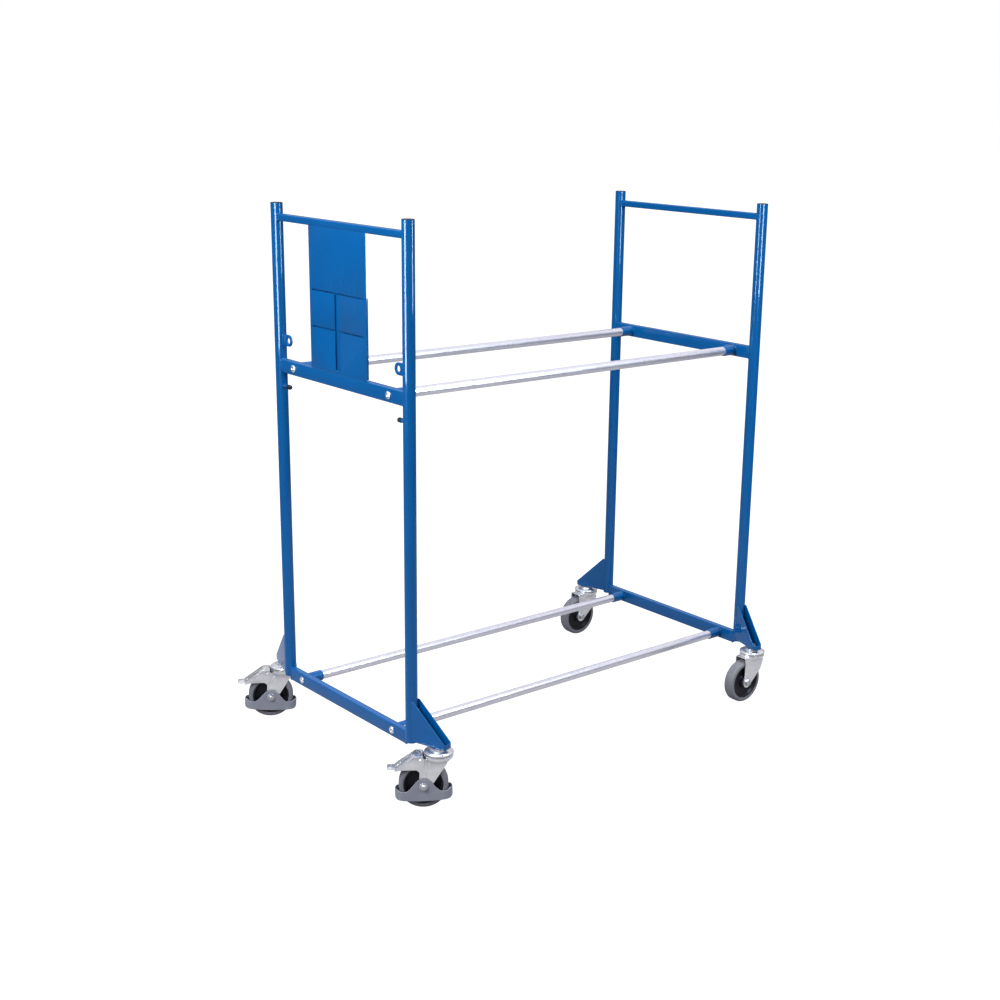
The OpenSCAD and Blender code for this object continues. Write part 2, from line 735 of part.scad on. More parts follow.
module foot_guard(sx, sy, turn, lean) {
    color(guard_grey) at_castor(sx, sy, turn) difference() {
        translate([trail, 0, wheel_r]) rotate([0, lean, 0]) translate([0, 0, -wheel_r]) intersection() {
            linear_extrude(wheel_d) difference() {
                guard_plan(guard_l / 2, guard_out);
                guard_plan(guard_l / 2 - guard_t, guard_in);
            }
            side_plate(-guard_out - 1, guard_out + 1) guard_profile();
        }
        on_axle() translate([0, 0, -guard_out - 1])
            cylinder(r = axle_d / 2 + fit_gap, h = 2 * guard_out + 2);
    }
}

// Side view of a pedal flange; it hangs down beside the fork leg and narrows to the step
module flange_profile() {
    front = pin_at[0] - 9;
    toe_z = slope_end[1] - 5;
    waist_z = slope_end[1] - 1.5;
    heel_z = waist_z - 10;
    polygon([
        [front + 4, pedal_top], bend_at, slope_end,
        [slope_end[0] - 1, toe_z], [slope_end[0] - 22, waist_z],
        [bend_at[0] + 3, waist_z], [bend_at[0] - 7, waist_z - 4], [pin_at[0] + 3, heel_z],
        [front, heel_z + 27], [front, pedal_top - 10]]);
}

module brake_pedal(sx, sy, turn) {
    color(zinc) at_castor(sx, sy, turn) {
        for (s = [-1, 1]) difference() {
            side_plate(s > 0 ? flange_in : -flange_out, s > 0 ? flange_out : -flange_in) flange_profile();
            translate([pin_at[0], 0, pin_at[1]]) rotate([-90, 0, 0])
                translate([0, 0, -flange_out - 1]) cylinder(r = pin_d / 2 + fit_gap, h = 2 * flange_out + 2);
        }
        difference() {
            side_plate(-flange_in - eps, flange_in + eps) polygon([
                [pin_at[0] - 5, pedal_top], bend_at, slope_end,
                slope_end + pedal_t * slope_down, bend_at + [-pedal_t * tan(slope_turn / 2), -pedal_t],
                [pin_at[0] - 5, pedal_top - pedal_t]]);
            translate([slope_end[0] - 30, -6, slope_end[1] - 1]) cube([12, 12, pedal_fall]);
        }
        translate([slope_end[0] - 2, -step_w / 2, slope_end[1] - pedal_t]) cube([step_l + 2, step_w, pedal_t]);
        translate([pin_at[0], 0, pin_at[1]]) rotate([-90, 0, 0])
            translate([0, 0, -flange_out - 2]) cylinder(r = pin_d / 2, h = 2 * flange_out + 4);
    }
}

module brake_shoe(sx, sy, turn) {
    color(cap_black) at_castor(sx, sy, turn)
        translate([bend_at[0], 0, bend_at[1]]) rotate([0, slope_turn, 0])
            translate([shoe_along - shoe_l / 2, -shoe_w / 2, -pedal_t - shoe_t])
                cube([shoe_l, shoe_w, shoe_t]);
}

post(left, near);  // post_left_near
post(left, far);  // post_left_far
post(right, near);  // post_right_near
post(right, far);  // post_right_far
post_plugs();
rail(left, top_rail_z, top_rail_h);  // top_rail_left
rail(right, top_rail_z, top_rail_h);  // top_rail_right
rail(left, mid_rail_z, rail_h) rail_screw_holes(left, upper_tube_z);  // mid_rail_left
rail(right, mid_rail_z, rail_h) rail_screw_holes(right, upper_tube_z);  // mid_rail_right
rail(left, rail_z, rail_h) rail_screw_holes(left, lower_tube_z);  // bottom_rail_left
rail(right, rail_z, rail_h) rail_screw_holes(right, lower_tube_z);  // bottom_rail_right
castor_bracket(left, near);  // castor_bracket_left_near
castor_bracket(left, far);  // castor_bracket_left_far
castor_bracket(right, near);  // castor_bracket_right_near
castor_bracket(right, far);  // castor_bracket_right_far
document_back();
document_rear_pocket();
document_front_pocket();
strap_lugs();
strap_pegs();
peg_caps();
tube_sleeves();
cross_tube(tube_places[0]);  // cross_tube_upper_near
cross_tube(tube_places[1]);  // cross_tube_upper_far
cross_tube(tube_places[2]);  // cross_tube_lower_near
cross_tube(tube_places[3]);  // cross_tube_lower_far
tube_inserts();
tube_screws();
castor_bolts();
swivel_head(left, near, turn_left_near);  // swivel_head_left_near
swivel_head(left, far, turn_left_far);  // swivel_head_left_far
swivel_head(right, near, turn_right);  // swivel_head_right_near
swivel_head(right, far, turn_right);  // swivel_head_right_far
swivel_balls();
fork(left, near, turn_left_near, braked = true);  // fork_left_near
fork(left, far, turn_left_far, braked = true);  // fork_left_far
fork(right, near, turn_right);  // fork_right_near
fork(right, far, turn_right);  // fork_right_far
axle(left, near, turn_left_near, braked = true);  // axle_left_near
axle(left, far, turn_left_far, braked = true);  // axle_left_far
axle(right, near, turn_right);  // axle_right_near
axle(right, far, turn_right);  // axle_right_far
hub(left, near, turn_left_near);  // hub_left_near
hub(left, far, turn_left_far);  // hub_left_far
hub(right, near, turn_right);  // hub_right_near
hub(right, far, turn_right);  // hub_right_far
tyre(left, near, turn_left_near);  // tyre_left_near
tyre(left, far, turn_left_far);  // tyre_left_far
tyre(right, near, turn_right);  // tyre_right_near
tyre(right, far, turn_right);  // tyre_right_far
wheel_bearings(left, near, turn_left_near);  // wheel_bearings_left_near
wheel_bearings(left, far, turn_left_far);  // wheel_bearings_left_far
wheel_bearings(right, near, turn_right);  // wheel_bearings_right_near
wheel_bearings(right, far, turn_right);  // wheel_bearings_right_far
foot_guard(left, near, turn_left_near, guard_lean_near);  // foot_guard_left_near
foot_guard(left, far, turn_left_far, guard_lean_far);  // foot_guard_left_far
brake_pedal(left, near, turn_left_near);  // brake_pedal_left_near
brake_pedal(left, far, turn_left_far);  // brake_pedal_left_far
brake_shoe(left, near, turn_left_near);  // brake_shoe_left_near
brake_shoe(left, far, turn_left_far);  // brake_shoe_left_far
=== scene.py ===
import json
from math import atan2, ceil, cos, hypot, pi, radians, sin, sqrt

import bmesh
import bpy
from mathutils import Matrix, Vector


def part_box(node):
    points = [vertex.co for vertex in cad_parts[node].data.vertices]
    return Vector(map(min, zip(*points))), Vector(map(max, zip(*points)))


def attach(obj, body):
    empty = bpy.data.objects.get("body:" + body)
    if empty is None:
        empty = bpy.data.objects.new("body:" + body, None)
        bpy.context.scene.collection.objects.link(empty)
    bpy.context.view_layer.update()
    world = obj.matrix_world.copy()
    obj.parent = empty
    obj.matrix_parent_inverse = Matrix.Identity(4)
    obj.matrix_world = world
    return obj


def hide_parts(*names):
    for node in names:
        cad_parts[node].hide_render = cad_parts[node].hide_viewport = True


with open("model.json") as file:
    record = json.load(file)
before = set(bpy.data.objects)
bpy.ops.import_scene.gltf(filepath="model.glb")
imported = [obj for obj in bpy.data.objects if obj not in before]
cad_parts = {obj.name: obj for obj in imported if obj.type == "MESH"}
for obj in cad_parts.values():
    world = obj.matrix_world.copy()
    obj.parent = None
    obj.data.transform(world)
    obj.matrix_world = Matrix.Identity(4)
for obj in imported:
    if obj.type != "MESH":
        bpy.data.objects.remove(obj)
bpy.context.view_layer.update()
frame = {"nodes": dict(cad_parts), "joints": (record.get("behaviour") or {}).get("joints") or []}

mm = 0.001

# The camera stands off the near left corner, a little above the top rails, and looks down
# at the trolley. Its lens and shift were solved from the straight posts and rails.
standpoint = Vector((-2.9558, -3.5527, 1.9348))
heading, tilt, roll = radians(-41.27), radians(16.23), radians(1.28)
backward = Vector((sin(heading) * cos(tilt), -cos(heading) * cos(tilt), sin(tilt)))
level_right = Vector((cos(heading), sin(heading), 0))
level_up = backward.cross(level_right)
rightward = cos(roll) * level_right + sin(roll) * level_up
upward = cos(roll) * level_up - sin(roll) * level_right

lens = bpy.data.cameras.new("camera")
lens.lens = 54.36
lens.sensor_width = 36
lens.shift_x, lens.shift_y = -0.0632, 0.0337
lens.clip_end = 100
camera = bpy.data.objects.new("camera", lens)
camera.matrix_world = Matrix((rightward, upward, backward)).transposed().to_4x4()
camera.matrix_world.translation = standpoint
bpy.context.scene.collection.objects.link(camera)
bpy.context.scene.camera = camera


# The studio: a wide pale floor that runs off into a pale background, under soft light boxes.
# Two tall strips are only mirrored in the trolley, and draw the upright highlights on its posts.
def new_material(name):
    """A material, its node tree, and the tree's own surface shader."""
    material = bpy.data.materials.new(name)
    material.use_nodes = True
    return material, material.node_tree, material.node_tree.nodes["Principled BSDF"]


def feed(tree, socket, value):
    """An input socket gets a value, or a link from the socket of another node."""
    if isinstance(value, bpy.types.NodeSocket):
        tree.links.new(value, socket)
    else:
        socket.default_value = value


def fill_in(tree, made, **inputs):
    """The inputs of a node, by their names with _ for each space."""
    for name, value in inputs.items():
        feed(tree, made.inputs[name.replace("_", " ")], value)


def node(tree, kind, **inputs):
    """A new shader node of this kind, with its inputs filled in."""
    made = tree.nodes.new("ShaderNode" + kind)
    fill_in(tree, made, **inputs)
    return made


def worked_out(tree, operation, *values):
    """The result of one sum on numbers or sockets."""
    made = node(tree, "Math")
    made.operation = operation
    for socket, value in zip(made.inputs, values):
        feed(tree, socket, value)
    return made.outputs[0]


def blend(tree, share, first, second, start=0.0, end=1.0):
    """A colour that goes from the first to the second while the share goes from start to end."""
    made = node(tree, "ValToRGB", Fac=share)
    for stop, colour, position in zip(made.color_ramp.elements, (first, second), (start, end)):
        stop.color = (*colour, 1)
        stop.position = position
    return made.outputs["Color"]


def softbox(name, place, target, width, height, power, shade=(1, 1, 1), mirrored=False):
    """A light box that faces its target. A mirrored one shows only in reflections."""
    light = bpy.data.lights.new(name, "AREA")
    light.shape = "RECTANGLE"
    light.size, light.size_y = width, height
    light.energy = power
    light.color = shade
    box = bpy.data.objects.new(name, light)
    box.location = place
    box.rotation_euler = (Vector(place) - Vector(target)).to_track_quat("Z", "Y").to_euler()
    box.visible_camera = False
    box.visible_diffuse, box.visible_glossy = not mirrored, mirrored
    bpy.context.scene.collection.objects.link(box)


bpy.context.scene.view_settings.view_transform = "Standard"
sky = bpy.data.worlds.new("studio")
sky.use_nodes = True
bpy.context.scene.world = sky
air = sky.node_tree
ray = node(air, "LightPath")
direction = node(air, "TexCoord")
height = node(air, "SeparateXYZ", Vector=direction.outputs["Generated"]).outputs["Z"]
daylight = blend(air, height, (0.26, 0.27, 0.29), (0.80, 0.82, 0.86), end=0.8)
reflection = blend(air, height, (0.10, 0.10, 0.11), (0.95, 0.95, 1.0), start=0.1, end=0.45)
surrounding = node(air, "MixRGB", Fac=ray.outputs["Is Glossy Ray"], Color1=daylight, Color2=reflection)
backdrop = node(air, "MixRGB", Fac=ray.outputs["Is Camera Ray"], Color1=surrounding.outputs[0],
                Color2=(1, 1, 1, 1))
air.links.new(backdrop.outputs[0], air.nodes["Background"].inputs["Color"])

softbox("key", (-3.9, -0.7, 3.8), (0, 0, 1.0), 2.0, 2.0, 270)
softbox("fill", (1.2, -2.6, 2.2), (0.4, 0, 0.9), 1.2, 1.2, 60)
softbox("overhead", (0.4, 0.2, 5.0), (0, 0, 0), 4.0, 4.0, 90)
cool = (0.75, 0.9, 1)
softbox("left_strip", (-1.74, -0.28, 2.0), (0, -0.1, 2.0), 0.5, 2.0, 110, cool, mirrored=True)
softbox("right_strip", (0.3, -1.49, 2.18), (0.3, 0, 2.18), 0.32, 2.0, 78, cool, mirrored=True)

floor_finish, tree, shader = new_material("studio_floor")
where = node(tree, "TexCoord").outputs["Object"]
mottle = node(tree, "TexNoise", Vector=where, Scale=3.0, Detail=4.0)
tint = blend(tree, mottle.outputs["Fac"], (0.13, 0.13, 0.14), (0.15, 0.15, 0.16))
ray = node(tree, "LightPath")
away = node(tree, "VectorMath", Vector=where)
away.operation = "LENGTH"
near_glow = node(tree, "MapRange", Value=away.outputs["Value"], From_Min=1.2, From_Max=3.0,
                 To_Min=0.4, To_Max=0.0)
mirrored_glow = worked_out(tree, "MULTIPLY", near_glow.outputs[0], ray.outputs["Is Glossy Ray"])
glow = worked_out(tree, "ADD", ray.outputs["Is Camera Ray"], mirrored_glow)
fill_in(tree, shader, Base_Color=tint, Roughness=0.9, Specular_IOR_Level=0.1,
        Emission_Color=(1, 1, 1, 1), Emission_Strength=glow)
floor_r = 60
ground = bmesh.new()
bmesh.ops.create_circle(ground, cap_ends=True, segments=64, radius=floor_r)
mesh = bpy.data.meshes.new("studio_floor")
ground.to_mesh(mesh)
mesh.materials.append(floor_finish)
studio_floor = bpy.data.objects.new("studio_floor", mesh)
bpy.context.scene.collection.objects.link(studio_floor)


# Four round posts of welded steel tube, 35 mm across, powder coated in glossy blue with the
# rest of the frame. Orange peel of the coat shows where the light boxes glance off.
def spread(tree, share, low, high):
    """A number that goes from low to high while the share goes from 0 to 1."""
    return node(tree, "MapRange", Value=share, To_Min=low, To_Max=high).outputs[0]


def powder_coat(name, deep, light):
    """Glossy powder coat with a light orange peel, and a slight cloud and speckle in its colour."""
    material, tree, shader = new_material(name)
    where = node(tree, "TexCoord").outputs["Object"]
    cloud = node(tree, "TexNoise", Vector=where, Scale=5.0, Detail=3.0).outputs["Fac"]
    speck = node(tree, "TexNoise", Vector=where, Scale=900.0, Detail=2.0).outputs["Fac"]
    both = worked_out(tree, "MULTIPLY_ADD", cloud, 0.75, spread(tree, speck, 0, 0.25))
    peel = node(tree, "TexNoise", Vector=where, Scale=420.0, Detail=1.0)
    bump = node(tree, "Bump", Strength=0.12, Distance=0.15 * mm, Height=peel.outputs["Fac"])
    fill_in(tree, shader, Base_Color=blend(tree, both, deep, light, 0.3, 0.7),
            Roughness=spread(tree, cloud, 0.2, 0.32), Normal=bump.outputs["Normal"],
            Specular_IOR_Level=0.05, Coat_Weight=0.5, Coat_Roughness=0.05)
    return material


def joined_up(shape, places, closed=True):
    """New points with an edge from each to the next."""
    points = [shape.verts.new(place) for place in places]
    following = points[1:] + points[:1] if closed else points[1:]
    return points, [shape.edges.new(pair) for pair in zip(points, following)]


hair = 0.001 * mm


def turned(outline, steps=64):
    """A shape turned about Z from an outline of (radius, height) points that closes on itself."""
    shape = bmesh.new()
    points, sides = joined_up(shape, [(radius, 0, z) for radius, z in outline])
    bmesh.ops.spin(shape, geom=points + sides, cent=(0, 0, 0), axis=(0, 0, 1), angle=2 * pi,
                   steps=steps, use_merge=True)
    bmesh.ops.remove_doubles(shape, verts=shape.verts, dist=hair)
    bmesh.ops.dissolve_degenerate(shape, edges=shape.edges, dist=hair)
    bmesh.ops.recalc_face_normals(shape, faces=shape.faces)
    return shape


def finished(name, shape, body, material, nodes=(), place=Matrix.Identity(4), crease=32):
    """The piece itself: the shape put in its place, smooth but for edges sharper than crease."""
    made = shape.copy()
    bmesh.ops.transform(made, matrix=place, verts=made.verts)
    for face in made.faces:
        face.smooth = True
    for edge in made.edges:
        edge.smooth = len(edge.link_faces) == 2 and edge.calc_face_angle() < radians(crease)
    mesh = bpy.data.meshes.new(name)
    made.to_mesh(mesh)
    made.free()
    mesh.materials.append(material)
    piece = bpy.data.objects.new(name, mesh)
    bpy.context.scene.collection.objects.link(piece)
    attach(piece, body)
    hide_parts(*nodes)
    return piece


def middle(name):
    """The middle of a CAD node's box."""
    low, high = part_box(name)
    return (low + high) / 2


def at_post(corner, z=0):
    """A place on a post's axis."""
    post = middle("post_" + corner)
    return Matrix.Translation((post.x, post.y, z))


corners = ["left_near", "left_far", "right_near", "right_far"]
blue = powder_coat("blue_powder_coat", (0.0, 0.072, 0.24), (0.001, 0.086, 0.28))


def painted(name, shape, nodes=(), place=Matrix.Identity(4), crease=32):
    """A piece of the frame, under its blue coat."""
    return finished(name, shape, "frame", blue, nodes, place, crease)


post_r, post_wall = 17.5 * mm, 2 * mm
ease, bore = 0.4 * mm, post_r - post_wall
for corner in corners:
    low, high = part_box("post_" + corner)
    post = turned([(post_r, low.z + ease), (post_r, high.z - ease), (post_r - ease, high.z),
                   (bore + ease, high.z), (bore, high.z - ease), (bore, low.z + ease),
                   (bore + ease, low.z), (post_r - ease, low.z)], steps=96)
    painted("upright_" + corner, post, ["post_" + corner], at_post(corner))


# Black plugs of moulded plastic are pushed into the tops of the posts and close them. Only a
# thin flat rim shows above the tube.
def moulded(name, colour, roughness, grain=1500.0, depth=0.05 * mm, glint=0.5):
    """Rubber or plastic from a mould, with a fine grain and a slight cloud in its colour."""
    material, tree, shader = new_material(name)
    where = node(tree, "TexCoord").outputs["Object"]
    cloud = node(tree, "TexNoise", Vector=where, Scale=30.0, Detail=4.0).outputs["Fac"]
    darker, lighter = ((*[part * share for part in colour], 1) for share in (0.82, 1.18))
    hue = node(tree, "MixRGB", Fac=cloud, Color1=darker, Color2=lighter)
    fine = node(tree, "TexNoise", Vector=where, Scale=grain, Detail=2.0)
    bump = node(tree, "Bump", Strength=0.35, Distance=depth, Height=fine.outputs["Fac"])
    fill_in(tree, shader, Base_Color=hue.outputs[0], Normal=bump.outputs["Normal"],
            Roughness=spread(tree, cloud, roughness - 0.06, roughness + 0.08), Specular_IOR_Level=glint)
    return material


black_plastic = moulded("black_plastic", (0.01, 0.01, 0.013), 0.42, glint=0.25)
low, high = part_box("post_plugs")
rim, stem_r = 1.5 * mm, post_r - post_wall - 0.1 * mm
plug = turned([(0, high.z), (post_r - 2.2 * mm, high.z), (post_r - 0.8 * mm, high.z - 0.2 * mm),
               (post_r, high.z - 0.9 * mm), (post_r, high.z - rim), (stem_r, high.z - rim),
               (stem_r, low.z + 1 * mm), (stem_r - 1 * mm, low.z), (0, low.z)], steps=64)
for corner in corners:
    finished("plug_" + corner, plug, "frame", black_plastic, ["post_plugs"], at_post(corner))


# Each end frame has a bottom, a middle and a top rail of rectangular tube with rounded edges.
# Their ends are shaped to the posts and welded all round, under the coat.
def bar(low, high, rounding, along, steps=3):
    """A bar with rounded edges along one axis, between two opposite corners."""
    low, high = Vector(low), Vector(high)
    shape = bmesh.new()
    bmesh.ops.create_cube(shape, size=1)
    bmesh.ops.scale(shape, vec=high - low, verts=shape.verts)
    bmesh.ops.translate(shape, vec=(low + high) / 2, verts=shape.verts)
    long_edges = [e for e in shape.edges if abs((e.verts[1].co - e.verts[0].co)[along]) > hair]
    bmesh.ops.bevel(shape, geom=long_edges, offset=rounding, offset_type="OFFSET", segments=steps,
                    profile=0.5, affect="EDGES", clamp_overlap=True, material=-1)
    return shape


def pulled_out(shape, edges):
    """The points and edges of a copy of these edges, joined to them by faces and not yet moved."""
    made = bmesh.ops.extrude_edge_only(shape, edges=edges)["geom"]
    points = [g for g in made if isinstance(g, bmesh.types.BMVert)]
    return points, [g for g in made if isinstance(g, bmesh.types.BMEdge)
                    and g.verts[0] in points and g.verts[1] in points]


def bead(path, radius, closed=False, ripple=0.16, sides=8):
    """A weld bead laid along a path of points, in overlapping scales."""
    crest, trough, thin_end = 1, -0.4, 0.55
    shape = bmesh.new()
    ring = bmesh.ops.create_circle(shape, segments=sides, radius=1)["verts"]
    first = edges = shape.edges[:]
    before = Matrix.Identity(4)
    for k, point in enumerate(path):
        ahead = path[(k + 1) % len(path)] if closed or k + 1 < len(path) else point
        behind = path[k - 1] if closed or k else point
        swell = radius * (1 + ripple * (crest if k % 3 == 0 else trough))
        if not closed and k in (0, len(path) - 1):
            swell *= thin_end
        here = Matrix.Translation(point) @ (ahead - behind).to_track_quat("Z", "Y").to_matrix().to_4x4()
        here = here @ Matrix.Scale(swell, 4)
        if k:
            ring, edges = pulled_out(shape, edges)
        bmesh.ops.transform(shape, matrix=here @ before.inverted(), verts=ring)
        before = here
    if closed:
        bmesh.ops.bridge_loops(shape, edges=first + edges)
    else:
        bmesh.ops.holes_fill(shape, edges=[e for e in shape.edges if e.is_boundary], sides=sides)
    bmesh.ops.recalc_face_normals(shape, faces=shape.faces)
    return shape


def joined(shapes):
    """Several shapes as one."""
    whole = bmesh.new()
    for shape in shapes:
        part = bpy.data.meshes.new("part")
        shape.to_mesh(part)
        shape.free()
        whole.from_mesh(part)
        bpy.data.meshes.remove(part)
    return whole


def oblong(x0, x1, z0, z1):
    """The outline of an oblong, between two places along each axis."""
    return [(x0, z0), (x1, z0), (x1, z1), (x0, z1)]


def saddle_path(centre, far_side, half_wide, low_z, high_z):
    """The line where a rail's end meets a round post, as a closed path."""
    longest_step = 2.2 * mm
    rim = oblong(-half_wide, half_wide, low_z, high_z)
    path = []
    for (x0, z0), (x1, z1) in zip(rim, rim[1:] + rim[:1]):
        count = max(4, ceil(hypot(x1 - x0, z1 - z0) / longest_step))
        for k in range(count):
            x, z = x0 + (x1 - x0) * k / count, z0 + (z1 - z0) * k / count
            path.append(Vector((centre.x + x, centre.y - far_side * sqrt(post_r ** 2 - x ** 2), z)))
    return path


rail_rounding, inset = 2.5 * mm, 0.3 * mm
for side in ("left", "right"):
    for tier in ("bottom", "mid", "top"):
        name = f"{tier}_rail_{side}"
        low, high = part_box(name)
        painted(f"{side}_{tier}_bar", bar(low, high, rail_rounding, 1), [name])
        beads = []
        for depth, far_side in (("near", -1), ("far", 1)):
            centre = middle(f"post_{side}_{depth}")
            half = (high.x - low.x) / 2 - inset
            path = saddle_path(centre, far_side, half, low.z + inset, high.z - inset)
            beads.append(bead(path, radius=1.5 * mm, closed=True))
        painted(f"{side}_{tier}_rail_welds", joined(beads), crease=60)


# Four cross tubes of galvanised steel, 28 mm across, run from end frame to end frame. The
# tyres stand on them, and their ends sit in short blue sleeves that are welded to the rails.
def galvanised(name):
    """Galvanising, with pale spangles and streaks along the tube."""
    material, tree, shader = new_material(name)
    where = node(tree, "TexCoord").outputs["Object"]
    stretched = node(tree, "Mapping", Vector=where, Scale=(0.12, 1.0, 1.0))
    spangle = node(tree, "TexVoronoi", Vector=where, Scale=160.0, Randomness=1.0)
    streak = node(tree, "TexNoise", Vector=stretched.outputs[0], Scale=300.0, Detail=5.0)
    tone = node(tree, "MixRGB", Fac=0.45, Color1=spangle.outputs["Color"], Color2=streak.outputs["Color"])
    grey = node(tree, "RGBToBW", Color=tone.outputs[0]).outputs[0]
    bump = node(tree, "Bump", Strength=0.06, Distance=0.1 * mm, Height=streak.outputs["Fac"])
    fill_in(tree, shader, Base_Color=blend(tree, grey, (0.64, 0.63, 0.70), (0.74, 0.73, 0.80), 0.2, 0.8),
            Roughness=spread(tree, grey, 0.26, 0.36), Normal=bump.outputs["Normal"], Metallic=0.85)
    return material


def ring_path(radius, z, count):
    """Points on a circle about Z, as a closed path."""
    turns = [2 * pi * k / count for k in range(count)]
    return [Vector((cos(a) * radius, sin(a) * radius, z)) for a in turns]


galvanised_steel = galvanised("galvanised_steel")
sideways = Matrix.Rotation(pi / 2, 4, "Y")
tube_r, tube_wall = 14 * mm, 1.5 * mm
sleeve_r, sleeve_l, ease = 16.6 * mm, 48 * mm, 0.6 * mm
bore, inner = tube_r - tube_wall, tube_r + 0.1 * mm
sleeve = turned([(sleeve_r, 0), (sleeve_r, sleeve_l - ease), (sleeve_r - ease, sleeve_l),
                 (inner + ease, sleeve_l), (inner, sleeve_l - ease), (inner, 0)], steps=72)
weld = bead(ring_path(sleeve_r + 0.2 * mm, 0.9 * mm, 48), radius=1.5 * mm, closed=True)
for tier in ("upper", "lower"):
    for depth in ("near", "far"):
        name = f"cross_tube_{tier}_{depth}"
        low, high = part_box(name)
        half = (high.x - low.x) / 2
        tube = turned([(tube_r, -half), (tube_r, half), (bore, half), (bore, -half)], steps=72)
        finished(f"tyre_tube_{tier}_{depth}", tube, "frame", galvanised_steel, [name],
                 Matrix.Translation(middle(name)) @ sideways)
        for side, away in (("left", -1), ("right", 1)):
            at_rail = Matrix.Translation(middle(name) + Vector((away * half, 0, 0)))
            place = at_rail @ Matrix.Rotation(-away * pi / 2, 4, "Y")
            painted(f"sleeve_{tier}_{depth}_{side}", sleeve, ["tube_sleeves"], place)
            painted(f"sleeve_weld_{tier}_{depth}_{side}", weld, place=place, crease=60)


# A bright zinc screw with a low domed head and a hexagon socket clamps each tube end. It goes
# through the rail into a threaded insert pressed into the tube.
def zinc_plate(name, dark, light, smooth=0.22, rough=0.36):
    """Zinc plating, cloudy and finely pitted."""
    material, tree, shader = new_material(name)
    where = node(tree, "TexCoord").outputs["Object"]
    cloud = node(tree, "TexNoise", Vector=where, Scale=55.0, Detail=5.0).outputs["Fac"]
    pits = node(tree, "TexNoise", Vector=where, Scale=1100.0, Detail=3.0)
    bump = node(tree, "Bump", Strength=0.1, Distance=0.08 * mm, Height=pits.outputs["Fac"])
    fill_in(tree, shader, Base_Color=blend(tree, cloud, dark, light, 0.3, 0.7),
            Roughness=spread(tree, cloud, smooth, rough), Normal=bump.outputs["Normal"], Metallic=0.9)
    return material


def dress(name, material):
    """A CAD node that keeps its shape gets this material."""
    for held in frame["nodes"][name].material_slots:
        held.material = material


bright_zinc = zinc_plate("bright_zinc", (0.66, 0.66, 0.69), (0.80, 0.80, 0.82))
for name in ("tube_inserts", "castor_bolts", "swivel_balls"):
    dress(name, bright_zinc)


def plated(name, shape, body, nodes=(), place=Matrix.Identity(4), crease=32):
    """A piece with bright zinc on it."""
    return finished(name, shape, body, bright_zinc, nodes, place, crease)


head_r, head_h, socket_r, socket_floor = 11 * mm, 5 * mm, 3.6 * mm, 2.2 * mm
head = turned([(socket_r + 0.3 * mm, head_h), (head_r - 4.4 * mm, head_h - 0.2 * mm),
               (head_r - 2 * mm, head_h - 0.9 * mm), (head_r - 0.6 * mm, head_h - 2.1 * mm),
               (head_r, head_h - 3.6 * mm), (head_r, 0.4 * mm), (head_r - 0.4 * mm, 0), (0, 0),
               (0, socket_floor), (socket_r, socket_floor), (socket_r, head_h - 0.3 * mm)], steps=48)
for tier, rail in (("upper", "mid"), ("lower", "bottom")):
    for depth in ("near", "far"):
        for side, away in (("left", -1), ("right", 1)):
            centre = middle(f"cross_tube_{tier}_{depth}")
            low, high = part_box(f"{rail}_rail_{side}")
            face = low.x if away < 0 else high.x
            place = Matrix.Translation((face, centre.y, centre.z)) @ Matrix.Rotation(away * pi / 2, 4, "Y")
            plated(f"screw_{tier}_{depth}_{side}", head, "frame", ["tube_screws"], place)


# The document holder is folded from thin sheet and fills the middle of the left end frame,
# from the middle rail up to the top rail. Its front is flush: two flat pockets open in slits,
# and a finger slot runs down through both.
def plate(outline, start, end, holes=(), rounding=0.5 * mm):
    """A flat plate from its outline in X and Z, lying between two places along Y."""
    shape = bmesh.new()
    edges = []
    for loop in (outline, *holes):
        edges += joined_up(shape, [(x, start, z) for x, z in loop])[1]
    bmesh.ops.triangle_fill(shape, edges=edges, use_beauty=True, use_dissolve=True)
    raised = bmesh.ops.extrude_face_region(shape, geom=shape.faces[:])["geom"]
    bmesh.ops.translate(shape, vec=(0, end - start, 0),
                        verts=[g for g in raised if isinstance(g, bmesh.types.BMVert)])
    bmesh.ops.recalc_face_normals(shape, faces=shape.faces)
    rims = [e for e in shape.edges if len(e.link_faces) == 2 and e.calc_face_angle() > radians(60)
            and abs(e.verts[0].co.y - e.verts[1].co.y) < hair]
    bmesh.ops.bevel(shape, geom=rims, offset=rounding, offset_type="OFFSET", segments=2, profile=0.5,
                    affect="EDGES", clamp_overlap=True, material=-1)
    return shape


low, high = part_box("document_back")
front_x, back_x, foot_z, head_z, half_w = low.x, high.x, low.z, high.z, high.y
fore_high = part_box("document_front_pocket")[1]
rear_low, rear_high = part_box("document_rear_pocket")
sheet, slit, slot_half, slot_foot = 1.5 * mm, 4 * mm, 14 * mm, foot_z + 11 * mm
inner = fore_high.y
shelf_z = rear_high.z + slit
tuck = 0.9 * mm
outline = oblong(-half_w, half_w, foot_z - tuck, head_z + tuck)
right_half = [(slot_half, slot_foot), (slot_half, fore_high.z), (inner, fore_high.z), (inner, rear_low.z),
              (slot_half, rear_low.z), (slot_half, rear_high.z), (inner, rear_high.z), (inner, shelf_z)]
opening = right_half + [(-y, z) for y, z in reversed(right_half)]
across = Matrix.Rotation(pi / 2, 4, "Z")
painted("holder_front", plate(outline, -sheet, 0, [opening], 0.3 * mm),
        ["document_back", "document_rear_pocket", "document_front_pocket"],
        Matrix.Translation((front_x, 0, 0)) @ across)
sheets = [bar((back_x - sheet, -half_w, foot_z), (back_x, half_w, shelf_z + sheet), 0.4 * mm, 1)]
for z, half in ((foot_z, inner), (rear_low.z, inner), (shelf_z, half_w)):
    sheets.append(bar((front_x + sheet, -half, z), (back_x - sheet / 2, half, z + sheet), 0.2 * mm, 1))
